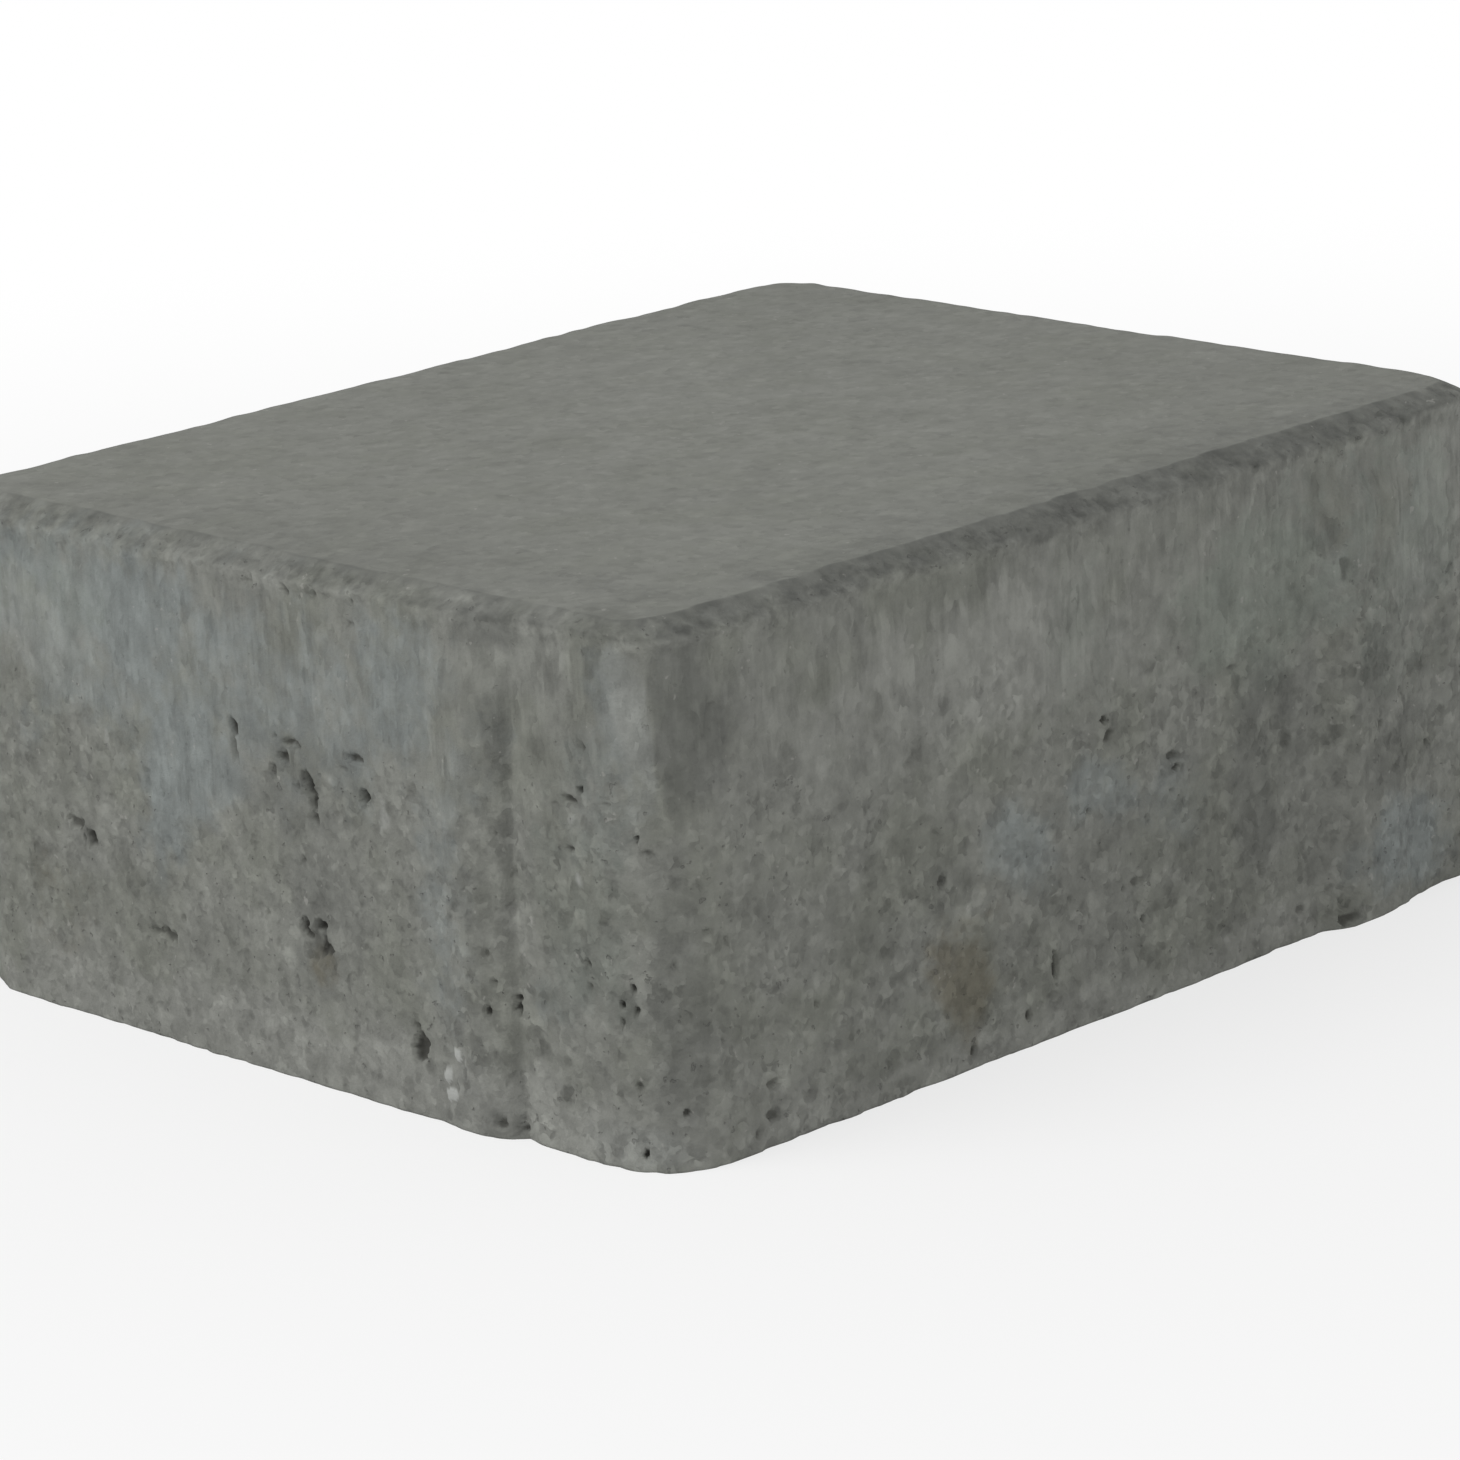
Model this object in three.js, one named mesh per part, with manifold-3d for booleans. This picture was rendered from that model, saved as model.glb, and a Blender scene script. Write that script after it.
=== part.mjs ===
// Concrete paving stone: one cast block with a bevelled wearing face and rounded upright
// corners. Each wall has one spacer nib, and steps back into a relief beside it.
//
// Millimetres, +Z up. The origin is the centre of the bed face, on the ground;
// +X runs along the stone's length and +Y along its width.

import * as THREE from "three";
import { mergeVertices } from "three/addons/utils/BufferGeometryUtils.js";
import Module from "manifold-3d";

// ---- Driving dimensions ----------------------------------------------------------------

// Block, measured over its plain walls
const stoneLength = 189.5;
const stoneWidth = 158.5;
const stoneHeight = 80;
const cornerRadius = 12;

// Bevel round the wearing face
const bevelInset = 4.6;
const bevelDrop = 3;

// Spacer nibs: upright ribs that hold the joint open between neighbouring stones. The
// long walls carry full nibs, the short walls low ones.
const nibFromCorner = 37;
const nibFootWidth = 16;
const nibCrestWidth = 8;
const nibCrestRounding = 1.5;
const longWallNibProud = 2.3;
const shortWallNibProud = 0.8;
const nibTop = 71;
const nibTopSlope = 3.5;

// Relief: beyond a plain land beside its nib, the wall steps back as far as the corner
const reliefLand = 0.5;
const reliefStep = 4;
const reliefDepth = 1.7;

// Curve fineness
const cornerSegments = 14;
const stepSegments = 6;
const crestSegments = 4;

// ---- Walls -----------------------------------------------------------------------------

// The walls run counter-clockwise seen from above, each a quarter turn after the last.
// run is a wall's length between sharp corners, reach its distance from the centre.
const quarterTurns = [[1, 0], [0, 1], [-1, 0], [0, -1]];
const walls = quarterTurns.map(([cosine, sine], index) => {
  const isLong = index % 2 === 0;
  return {
    heading: index * Math.PI / 2,
    along: new THREE.Vector2(cosine, sine),
    outward: new THREE.Vector2(sine, -cosine),
    run: isLong ? stoneLength : stoneWidth,
    reach: (isLong ? stoneWidth : stoneLength) / 2,
    nibProud: isLong ? longWallNibProud : shortWallNibProud,
  };
});

// A point on the plan: toEnd is measured back from the wall's last sharp corner, and
// proud outwards from the wall.
function wallPoint(wall, toEnd, proud) {
  const point = wall.along.clone().multiplyScalar(wall.run / 2 - toEnd);
  return point.addScaledVector(wall.outward, wall.reach + proud);
}

// ---- Solids ----------------------------------------------------------------------------

const wasm = await Module();
wasm.setup();

function solidOf(geometry) {
  const bare = geometry.clone();
  bare.deleteAttribute("normal");
  bare.deleteAttribute("uv");
  const merged = mergeVertices(bare, 1e-5);
  return new wasm.Manifold(new wasm.Mesh({
    numProp: 3,
    vertProperties: new Float32Array(merged.attributes.position.array),
    triVerts: new Uint32Array(merged.index.array),
  }));
}

function geometryOf(solid) {
  const mesh = solid.getMesh();
  const geometry = new THREE.BufferGeometry();
  geometry.setAttribute("position", new THREE.BufferAttribute(mesh.vertProperties, 3));
  geometry.setIndex(new THREE.BufferAttribute(mesh.triVerts, 1));
  geometry.computeVertexNormals();
  return geometry;
}

// Every solid is built this far below the bed, so that one cut makes the whole bed face
const bedOverrun = 5;

// ---- Block -----------------------------------------------------------------------------

// Plan of the block: every wall runs plain past its nib, eases back into the relief, and
// rounds the corner into the plain start of the next wall.
function blockPlan() {
  const stepStart = nibFromCorner - nibFootWidth / 2 - reliefLand;
  const stepEnd = stepStart - reliefStep;
  const stepMiddle = (stepStart + stepEnd) / 2;
  const points = [];
  for (const wall of walls) {
    const step = new THREE.CubicBezierCurve(
      wallPoint(wall, stepStart, 0),
      wallPoint(wall, stepMiddle, 0),
      wallPoint(wall, stepMiddle, -reliefDepth),
      wallPoint(wall, stepEnd, -reliefDepth));
    const centre = wallPoint(wall, cornerRadius, -reliefDepth - cornerRadius);
    const corner = new THREE.EllipseCurve(
      centre.x, centre.y, cornerRadius, cornerRadius, wall.heading - Math.PI / 2, wall.heading);
    points.push(...step.getPoints(stepSegments), ...corner.getPoints(cornerSegments));
  }
  return new THREE.Shape(points);
}

// Rounded rectangle over the plain walls, which the bevel follows.
function plainOutline() {
  const outline = new THREE.Shape();
  for (const wall of walls) {
    const centre = wallPoint(wall, cornerRadius, -cornerRadius);
    outline.absarc(centre.x, centre.y, cornerRadius, wall.heading - Math.PI / 2, wall.heading);
  }
  return outline;
}

function blockPrism() {
  const prism = new THREE.ExtrudeGeometry(blockPlan(), {
    depth: bedOverrun + stoneHeight + bevelDrop,
    bevelEnabled: false,
  });
  return prism.translate(0, 0, -bedOverrun);
}

// Space under the wearing face and its bevel, whose slope is carried on past the nibs.
function bevelEnvelope() {
  const carriedOn = 2;
  const slopeDrop = bevelDrop * carriedOn;
  const lowerEnd = 2 * slopeDrop + bedOverrun;
  const envelope = new THREE.ExtrudeGeometry(plainOutline(), {
    depth: stoneHeight + lowerEnd,
    curveSegments: cornerSegments,
    bevelSegments: 1,
    bevelThickness: slopeDrop,
    bevelSize: bevelInset * carriedOn,
    bevelOffset: -bevelInset,
  });
  return envelope.translate(0, 0, -slopeDrop - lowerEnd);
}

// The ground, which cuts the stone off level at its bed
function ground() {
  const slab = new THREE.BoxGeometry(2 * stoneLength, 2 * stoneWidth, 2 * bedOverrun);
  return slab.translate(0, 0, -bedOverrun);
}

// ---- Nibs ------------------------------------------------------------------------------

// How far a nib's solid reaches behind its wall, so that the two grow into one, and how
// far its flanks are carried on below the wall
const nibRoot = 4;
const flankSink = 0.1;

// Plan of a nib in its own frame: X along the wall and Y outwards, with the wall at Y = 0.
function nibPlan(proud) {
  const crest = nibCrestWidth / 2;
  const flank = new THREE.Vector2(nibFootWidth / 2 - crest, -proud);
  const sink = flank.clone().multiplyScalar(1 + flankSink / proud);
  const rounding = flank.clone().setLength(nibCrestRounding);
  const plan = new THREE.Shape();
  plan.moveTo(crest + sink.x, -nibRoot);
  plan.lineTo(crest + sink.x, proud + sink.y);
  plan.lineTo(crest + rounding.x, proud + rounding.y);
  plan.quadraticCurveTo(crest, proud, crest - nibCrestRounding, proud);
  plan.lineTo(nibCrestRounding - crest, proud);
  plan.quadraticCurveTo(-crest, proud, -crest - rounding.x, proud + rounding.y);
  plan.lineTo(-crest - sink.x, proud + sink.y);
  plan.lineTo(-crest - sink.x, -nibRoot);
  return plan;
}

// Side view of the space below a nib's sloped upper end: X outwards and Y up. The slope
// runs from the nib's crest to the wall at nibTop.
function nibTopProfile(proud) {
  const margin = 1;
  const rise = nibTopSlope / proud;
  const outer = proud + margin;
  const inner = -nibRoot - margin;
  const profile = new THREE.Shape();
  profile.moveTo(inner, -bedOverrun - margin);
  profile.lineTo(outer, -bedOverrun - margin);
  profile.lineTo(outer, nibTop - rise * outer);
  profile.lineTo(-margin, nibTop + rise * margin);
  profile.lineTo(inner, nibTop + rise * margin);
  return profile;
}

function nib(proud) {
  const rib = new THREE.ExtrudeGeometry(nibPlan(proud), {
    depth: bedOverrun + nibTop + nibTopSlope,
    curveSegments: crestSegments,
    bevelEnabled: false,
  });
  rib.translate(0, 0, -bedOverrun);
  const sweep = 2 * nibFootWidth;
  const under = new THREE.ExtrudeGeometry(nibTopProfile(proud), {
    depth: sweep,
    bevelEnabled: false,
  });
  // Stand the profile up: its X turns outwards, its Y turns up, and it is swept along X
  under.applyMatrix4(new THREE.Matrix4().makeBasis(
    new THREE.Vector3(0, 1, 0), new THREE.Vector3(0, 0, 1), new THREE.Vector3(1, 0, 0)));
  under.translate(-sweep / 2, 0, 0);
  return geometryOf(solidOf(rib).intersect(solidOf(under)));
}

// Moves a nib from its own frame to its place on a wall.
function seatOn(wall) {
  const place = wallPoint(wall, nibFromCorner, 0);
  const seat = new THREE.Matrix4().makeBasis(
    new THREE.Vector3(-wall.along.x, -wall.along.y, 0),
    new THREE.Vector3(wall.outward.x, wall.outward.y, 0),
    new THREE.Vector3(0, 0, 1));
  return seat.setPosition(place.x, place.y, 0);
}

// ---- Model -----------------------------------------------------------------------------

const concrete = new THREE.MeshStandardMaterial({
  name: "grey_concrete",
  color: 0x747872,
  roughness: 0.92,
  metalness: 0,
});

let stone = solidOf(blockPrism());
for (const wall of walls) {
  stone = stone.add(solidOf(nib(wall.nibProud).applyMatrix4(seatOn(wall))));
}
stone = stone.intersect(solidOf(bevelEnvelope())).subtract(solidOf(ground()));

const pavingStone = new THREE.Mesh(geometryOf(stone), concrete);
pavingStone.name = "paving_stone";

const model = new THREE.Group();
model.name = "concrete_paving_stone";
model.add(pavingStone);

export default model;
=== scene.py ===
"""Concrete paving stone: the cast stone with its finish, and the stage that it stands on.

The stone starts as a plain block divided into a fine grid. The grid is moved onto the cast
form, with its bevel, nibs, reliefs, drag marks and air holes, and takes the place of the
plain solid. Lengths inside the script are millimetres, and its objects are in metres.
"""

import math
from collections import namedtuple
from types import SimpleNamespace

import bmesh
import bpy
import numpy as np
from mathutils import Matrix, Vector


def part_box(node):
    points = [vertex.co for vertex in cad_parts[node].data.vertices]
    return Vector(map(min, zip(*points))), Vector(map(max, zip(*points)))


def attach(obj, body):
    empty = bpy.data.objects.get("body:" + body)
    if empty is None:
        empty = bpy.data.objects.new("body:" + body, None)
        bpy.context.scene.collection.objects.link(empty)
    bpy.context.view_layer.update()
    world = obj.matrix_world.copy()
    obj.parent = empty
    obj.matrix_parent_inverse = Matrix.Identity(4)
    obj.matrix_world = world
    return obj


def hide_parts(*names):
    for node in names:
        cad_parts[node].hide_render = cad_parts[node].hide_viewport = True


bl_info = {
    "name": "Concrete Paving Stone",
    "version": (1, 0, 0),
    "blender": (4, 5, 0),
    "location": "3D View > Sidebar > Paving Stone",
    "description": "Casts a concrete paving stone and sets the stage round it",
    "category": "Object",
}

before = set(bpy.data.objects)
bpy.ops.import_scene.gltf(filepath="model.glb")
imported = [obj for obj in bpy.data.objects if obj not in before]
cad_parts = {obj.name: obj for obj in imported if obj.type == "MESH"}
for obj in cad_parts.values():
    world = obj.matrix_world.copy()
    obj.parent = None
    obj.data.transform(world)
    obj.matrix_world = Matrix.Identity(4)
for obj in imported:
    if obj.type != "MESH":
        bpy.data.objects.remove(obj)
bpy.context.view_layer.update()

NODE = "paving_stone"
PIECE = "cast_stone"
MM = 0.001
solid_low, solid_high = (np.array(corner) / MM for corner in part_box(NODE))

# How far the solid's nibs stand proud of the short and the long walls
NIB_PROUD = np.array([0.8, 2.3, 0])
plain_size = [round(float(size), 2) for size in solid_high - solid_low - 2 * NIB_PROUD]

# Points of the grid that lie nearer to a plane than this are in it, in millimetres
TOUCH = 0.01

# The walls are numbered counter-clockwise seen from above
WALLS = FRONT, RIGHT, BACK, LEFT = range(4)


# ---- Sizes, colours and stage, as a user would change them ----


def number(name, default, description, **details):
    """A number that a user can change."""
    return bpy.props.FloatProperty(name=name, default=default, description=description,
                                   **details)


def mm(name, default, description, least=0):
    """A length that is given in millimetres here and held in metres, with its least value in
    metres."""
    return number(name, default * MM, description, min=least, precision=5,
                  subtype="DISTANCE", unit="LENGTH")


def degrees(name, default, description):
    """An angle that is given in degrees here and held in radians."""
    return number(name, math.radians(default), description, subtype="ANGLE", unit="ROTATION")


def colour(name, default, description):
    """A colour that a user can change."""
    return bpy.props.FloatVectorProperty(
        name=name, default=default, description=description, subtype="COLOR", min=0, max=1)


class StoneSizes(bpy.types.PropertyGroup):
    """Sizes of the stone and of its grid"""

    length: mm("Length", plain_size[0], "Length over the plain short walls")
    width: mm("Width", plain_size[1], "Width over the plain long walls")
    height: mm("Height", plain_size[2], "Height from bed to wearing face")
    corner_radius: mm("Corner radius", 12, "Radius of the upright corners")
    bevel_inset: mm("Bevel inset", 4.6, "Width of the bevel, seen from above")
    bevel_drop: mm("Bevel drop", 3, "Height of the bevel")
    nib_top: mm("Nib top", 71, "Height at which the nibs end")
    nib_top_slope: mm("Nib top slope", 3.5, "Height of a nib's sloped upper end")
    grid_step: mm("Grid step", 1, "Distance between the walls' grid lines")
    coarse_step: mm("Coarse step", 3, "Distance between grid lines of bed and face")
    crumb_height: mm("Crumb height", 0.55, "How far crumbs stand out on the bevel")
    edge_waver: mm("Edge waver", 0.45, "How far the bevel's edges wander")
    lump_height: mm("Lump height", 0.2, "Height of the walls' broad lumps")
    pock_depth: mm("Pock depth", 0.12, "Depth of the walls' small unevenness")
    drag_depth: mm("Drag depth", 0.08, "Depth of the upright drag marks")
    burr_height: mm("Burr height", 0.4, "How far the burr under the bevel stands out")
    bed_inset: mm("Bed inset", 1.2, "How far the bed's edge lies inside the walls")
    foot_bulge: mm("Foot bulge", 0.45, "How far the walls sag outwards at the foot")
    seam_height: mm("Seam height", 0.3, "Height of the low ridges round the corners")
    seed: bpy.props.IntProperty(
        name="Seed", default=7, description="Changes every chance form of the stone")


class StoneColours(bpy.types.PropertyGroup):
    """Colours of the concrete, some of them also used to paint light and shade"""

    cement: colour("Cement", (0.2066, 0.2114, 0.1915), "Most of the stone")
    warm_cement: colour("Warm cement", (0.189, 0.195, 0.171), "Yellower clouds in the cement")
    # Also paints a highlight on the near corner
    laitance_and_highlight: colour("Laitance", (0.206, 0.2245, 0.217), "Pale bluish cement skin")
    paste: colour("Paste", (0.252, 0.256, 0.236), "Pale cement paste rubbed up by the mould")
    # Also paints light: a highlight on the near corner, a band at the foot, the burr, and the
    # wearing face's paler far part
    green: colour("Green", (0.194, 0.211, 0.184), "Faint green film")
    # Also paints shade: on the nibs' flanks, in the dip beside the front nib, on the bevels and
    # on the wearing face's near edges
    darker_and_shade: colour("Damp", (0.105, 0.108, 0.100), "Dense, darker places")
    rust: colour("Rust", (0.128, 0.114, 0.080), "Brown stain")
    # Paints shade inside the air holes
    hole_shade: colour("Hollow", (0.075, 0.075, 0.067), "Bottom of an air hole")
    pebble: colour("Pebble", (0.44, 0.45, 0.43), "Pebbles that show through the skin")
    pale_grain: colour("Pale grain", (0.36, 0.355, 0.33), "Light sand grains")
    # Paints shade in fine pores and pits
    pore_shade: colour("Dark grain", (0.085, 0.085, 0.080), "Dark sand grains")


class StageSettings(bpy.types.PropertyGroup):
    """Floor, light and camera"""

    floor: colour("Floor", (0.82, 0.82, 0.82), "Colour of the floor")
    sky: number("Sky", 0.50, "Brightness of the soft light from all round")
    key: number("Key light", 9.0, "Power of the large lamp", unit="POWER")
    fill: number("Fill light", 3.0, "Power of the low lamp", unit="POWER")
    azimuth: degrees("Azimuth", -44.0715, "Direction from which the camera looks")
    elevation: degrees("Elevation", 15.7667, "Angle of the camera above the horizon")
    roll: degrees("Roll", -3.0259, "Turn of the camera about its own axis")
    distance: mm("Distance", 932.05, "From the camera to the middle of the stone")
    side_step: mm("Side step", 0.1, "How far the view's middle lies left of the stone's", -1)
    drop: mm("Drop", 8.4, "How far the view's middle lies below the stone's", -1)
    lens: number("Lens", 145.55, "Focal length on a 36 mm wide sensor", min=1)


# ---- Walls and plan ----


def read(table, places):
    """Values between those of a table of pairs, at some places."""
    return np.interp(places, *zip(*table))


def in_millimetres(group):
    """The stone's sizes as plain numbers in millimetres, and its walls."""
    names = set(group.bl_rna.properties.keys()) - {"rna_type", "name", "seed"}
    lengths = {name: round(getattr(group, name) / MM, 4) for name in names}
    sizes = SimpleNamespace(seed=group.seed, **lengths)
    sizes.walls = [Wall(index, sizes) for index in WALLS]
    return sizes


class Wall:
    """One wall's directions and lengths on the plan, and where it starts on the way round."""

    def __init__(self, index, sizes):
        long_wall = index % 2 == 0
        self.along = np.array(((1, 0), (0, 1), (-1, 0), (0, -1))[index])
        self.outward = np.array((self.along[1], -self.along[0]))
        self.run = sizes.length if long_wall else sizes.width
        self.start = (0, sizes.length, sizes.length + sizes.width,
                      2 * sizes.length + sizes.width)[index]
        self.nib = LONG_WALL_NIB if long_wall else SHORT_WALL_NIB
        self.relief = LONG_WALL_RELIEF if long_wall else SHORT_WALL_RELIEF
        self.lean = ((0, 0),) if long_wall else SHORT_WALL_LEAN


# Sections of the walls: pairs of the distance back from the wall's last sharp corner and
# how far the wall stands proud there
LONG_WALL_NIB = ((24.5, 0), (28.5, 1.25), (31, 1.45), (33.2, 1.7), (35.8, 2.05), (38.2, 2.3),
                 (39.8, 2.2), (44.8, 0), (47, -0.5), (53, -0.7), (62, -0.3), (72, 0))
LONG_WALL_RELIEF = ((14.5, -1.2), (18, -1.1), (22.4, -0.6), (25.5, 0))
SHORT_WALL_NIB = ((30.3, 0), (32, 0.15), (33.5, 0.3), (35, 0.5), (36.5, 0.7), (38, 0.8),
                  (41, 0.6), (43, 0.2), (46, 0))
SHORT_WALL_RELIEF = ((27, -1.9), (29.2, -2.2), (30.3, -2.25), (31, -1.55), (32, -0.95),
                     (33.5, -0.5), (35, -0.2), (36.5, -0.06), (38, 0))

# How far the short wall's nib leans towards the corner at each height
SHORT_WALL_LEAN = ((30, 0), (50, 0.8), (70, 2.0))

# The distances from the sharp corner between which a nib's steep flank needs a finer grid
LONG_WALL_FLANK = (39, 45)
SHORT_WALL_FLANK = (27, 36.5)

# The line where the mould's walls met at a corner: pairs of height and distance round
SEAM_LINE = ((3, 0.4), (25, 1.9), (52, 2.6), (60, 2.0), (70, 1.5), (76, 1.6))


def plan_of(points, sizes):
    """Splits points of the plain block's plan into the nearest point of the core, which ends
    a corner radius inside the walls, the direction out from it, and the share of the way out.
    """
    core_reach = np.array([sizes.length, sizes.width]) / 2 - sizes.corner_radius
    core = np.clip(points, -core_reach, core_reach)
    out = (points - core) / sizes.corner_radius
    lean = np.abs(out)
    share = lean.max(axis=1)
    eighth = np.pi / 4 * lean.min(axis=1) / np.maximum(share, 1e-9)
    angle = np.where(lean[:, 0] >= lean[:, 1], eighth, np.pi / 2 - eighth)
    direction = np.sign(out) * np.stack([np.cos(angle), np.sin(angle)], axis=1)
    return core, direction, share


def way_round(points, sizes):
    """Distance of points round the plain block, counter-clockwise from the front wall's
    start."""
    half = np.array([sizes.length, sizes.width]) / 2
    outness = [points @ wall.outward - half @ np.abs(wall.outward) for wall in sizes.walls]
    nearest = np.argmax(outness, axis=0)
    places = np.array([wall.start + wall.run / 2 + points @ wall.along
                       for wall in sizes.walls])
    return places[nearest, np.arange(len(points))]


def past(way, index, to_end, sizes):
    """How far round each way lies past a place on a wall, the shorter way."""
    wall = sizes.walls[index]
    total = 2 * (sizes.length + sizes.width)
    return (way - (wall.start + wall.run - to_end) + total / 2) % total - total / 2


def past_seam(way, height, sizes):
    """How far round each point lies past the nearest corner's seam."""
    seam = read(SEAM_LINE, height)
    away = np.array([past(way, index, 0, sizes) * np.pi / 4 - seam for index in WALLS])
    return away[np.abs(away).argmin(axis=0), np.arange(len(way))]


# ---- Chance ----

CHANCE = np.random.RandomState(20).permutation(256)
CHANCE_VALUES = np.random.RandomState(21).uniform(-1, 1, 256)


def wander(points, size, seed):
    """Smooth chance value from -1 to 1 that changes over about size millimetres. Each seed
    gives another pattern."""
    scaled = points / np.asarray(size, float) + 17.3 * (seed + 1)
    cell = np.floor(scaled).astype(int)
    part = scaled - cell
    part = part * part * (3 - 2 * part)
    total = np.zeros(len(points))
    for dx in (0, 1):
        for dy in (0, 1):
            for dz in (0, 1):
                key = CHANCE[(cell[:, 2] + dz + seed) & 255]
                key = CHANCE[(cell[:, 1] + dy + key) & 255]
                key = CHANCE[(cell[:, 0] + dx + key) & 255]
                weight = np.abs((1 - dx - part[:, 0]) * (1 - dy - part[:, 1])
                                * (1 - dz - part[:, 2]))
                total += weight * CHANCE_VALUES[key]
    return total


def waves(points, *parts):
    """Sum of chance values, each with its strength, size and seed."""
    return sum(strength * wander(points, size, seed) for strength, size, seed in parts)


def bell(distance, width):
    return np.exp(-(distance / width) ** 2)


def ramp(value, low, high):
    """Rises smoothly from 0 at low to 1 at high."""
    share = np.clip((value - low) / (high - low), 0, 1)
    return share * share * (3 - 2 * share)


# ---- Air holes and patches ----

# A hole's place is its wall, the distance back from the wall's last sharp corner, and its
# height. Its half width, half height and depth follow. Tables keep what follows the wall in
# a row of its own under that wall.
Hole = namedtuple("Hole", "wall to_end height half_width half_height depth")

PLACED_HOLES = {
    LEFT: (
        # under the bevel
        (114.9, 76.8, 0.72, 0.64, 0.8), (93.7, 73.1, 0.5, 2.4, 0.5), (81.7, 76.4, 1.3, 0.6, 0.8),
        (79.5, 73, 0.48, 0.8, 0.6), (73.3, 75.6, 0.7, 1.1, 1.3), (69.8, 76, 0.48, 0.56, 1),
        (67.6, 75.8, 0.56, 0.56, 1), (59.7, 72.8, 0.56, 0.64, 0.9),
        (59.4, 76.2, 0.64, 0.64, 0.8),
        # the main holes
        (123.5, 29.4, 1.5, 1.5, 2), (127, 31, 1.8, 1, 0.9), (87.3, 52.8, 0.9, 1.5, 1.4),
        (87.6, 49, 0.7, 2.4, 0.8), (71.6, 46.6, 1.2, 2, 2.4), (70.4, 44, 1, 1.6, 2),
        (70.6, 41.4, 1.3, 0.9, 1.5), (74.2, 45.8, 0.64, 0.8, 1.2), (58.8, 46.7, 1.3, 1.4, 2),
        (60.4, 52.3, 2, 0.6, 1), (63.4, 50.4, 1.2, 0.6, 0.7), (76.6, 50, 1.1, 1.3, 1.3),
        (74.4, 52.4, 2, 0.8, 1), (79, 47.4, 0.8, 1.2, 0.8), (70.9, 25.2, 1.4, 1, 2.2),
        (74, 23.9, 1.3, 1.6, 1.8), (69.9, 21.6, 1.5, 1.4, 1.6), (71.8, 22.2, 2.6, 2.6, 0.8),
        (106.2, 16.8, 1.6, 1.2, 1), (109, 17, 1.2, 0.7, 0.8), (108.4, 40.7, 0.8, 2.2, 0.5),
        (49.8, 10, 1.6, 2.7, 1.5), (50.6, 13.5, 0.64, 0.8, 0.8),
        # beside the nib
        (34.8, 19.3, 0.72, 0.72, 1.3), (30.4, 21.6, 0.72, 0.64, 1.2),
        (30.4, 19.9, 0.64, 0.64, 1.2), (33.5, 23.7, 0.64, 0.56, 0.7),
        (32, 45.9, 0.48, 0.56, 0.8), (29.7, 40.2, 0.56, 0.56, 0.8), (33.6, 2.4, 1.2, 0.8, 0.9),
        (30.6, 1.6, 0.9, 0.7, 0.9),
        # in the relief and by the near corner
        (13.9, 61.1, 0.64, 0.72, 1.3), (14.8, 54.9, 0.8, 0.72, 1.4), (17.2, 53.4, 1.3, 0.7, 1),
        (9.2, 54, 1.4, 0.7, 0.8), (17.6, 46.1, 0.8, 0.48, 1), (2, 49, 0.64, 0.48, 1),
        (0.3, 47.1, 1.2, 0.7, 0.9), (7.4, 47.8, 0.72, 0.56, 0.7), (15.3, 29.5, 0.56, 0.64, 1.1),
        (15.1, 26.2, 0.64, 0.48, 0.7), (7.7, 27.7, 0.64, 0.48, 1), (4.7, 27.4, 0.64, 0.56, 1.1),
        (7.5, 24.6, 0.64, 0.56, 1.1), (4, 23.9, 0.64, 0.56, 0.9), (7.7, 22, 0.64, 0.8, 0.8),
        (4, 2.6, 0.8, 0.64, 1.3), (4.3, 12.8, 0.8, 1.1, 0.6), (20.3, 8.8, 1.3, 2, 0.5),
    ),
    FRONT: (
        # by the near corner
        (186.9, 47.9, 0.56, 0.48, 0.9), (184.6, 8.7, 0.72, 0.56, 0.9),
        (185.3, 30.7, 0.56, 0.56, 0.9),
        # along the wall
        (175.1, 66.9, 1.2, 0.8, 0.7), (175, 32.6, 0.48, 0.72, 0.7), (178.5, 34.5, 1.1, 0.6, 0.7),
        (167.2, 9.2, 1.8, 0.9, 0.9), (167.6, 4.5, 1.5, 0.9, 0.9), (171, 2.6, 0.8, 0.64, 0.9),
        (107.8, 10.7, 0.7, 2.2, 1.6), (114.1, 4.9, 0.72, 0.72, 1.3),
        (126.2, 2.8, 0.72, 0.8, 1.3), (131, 30.2, 1.1, 1, 0.9), (94.9, 45.9, 0.72, 0.8, 1.1),
        (94.2, 43.2, 0.9, 1.2, 1), (105.3, 45.3, 1.4, 1.4, 0.5), (84.2, 42.6, 0.8, 1.2, 0.6),
        (79.9, 36.9, 1.2, 0.6, 0.9), (78.9, 34.6, 1.3, 0.7, 1), (82.3, 34.3, 0.8, 0.8, 0.7),
        (64.9, 47.1, 1.4, 0.7, 0.9), (53.2, 33, 1.5, 1.7, 0.7), (37.9, 49, 1.5, 1.2, 0.5),
        (40.7, 57.4, 1, 2, 0.7), (88.8, 19.1, 1.3, 0.8, 0.8), (18.2, 24, 0.8, 0.8, 0.9),
        (59.9, 13.7, 0.9, 1.6, 0.7), (50.6, 4.9, 1.2, 1, 0.8), (161.4, 56.4, 0.9, 2.4, 0.5),
        (41.8, 1.4, 1.6, 1, 1),
    ),
}

# Pebbles that show through the skin, given as holes are, with the height that they stand out
PEBBLES = {
    LEFT: (
        (41.2, 11.4, 0.9, 0.9, 0.3), (44.1, 7.6, 1, 0.8, 0.3), (42.8, 4.9, 1.2, 1, 0.3),
        (16.3, 41.8, 0.8, 0.9, 0.08), (16.8, 50.5, 0.9, 0.8, 0.06), (117.3, 46, 0.9, 2, 0.06),
        (139.4, 45, 1.4, 1, 0.05), (126.5, 68.5, 0.7, 1.6, 0.05), (61, 52.5, 1.2, 1.6, 0.05),
        (54.5, 44.5, 1.3, 3, 0.06), (66.5, 48.5, 0.9, 0.8, 0.06),
    ),
    FRONT: ((155.6, 61.2, 0.9, 0.7, 0.06),),
}

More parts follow.
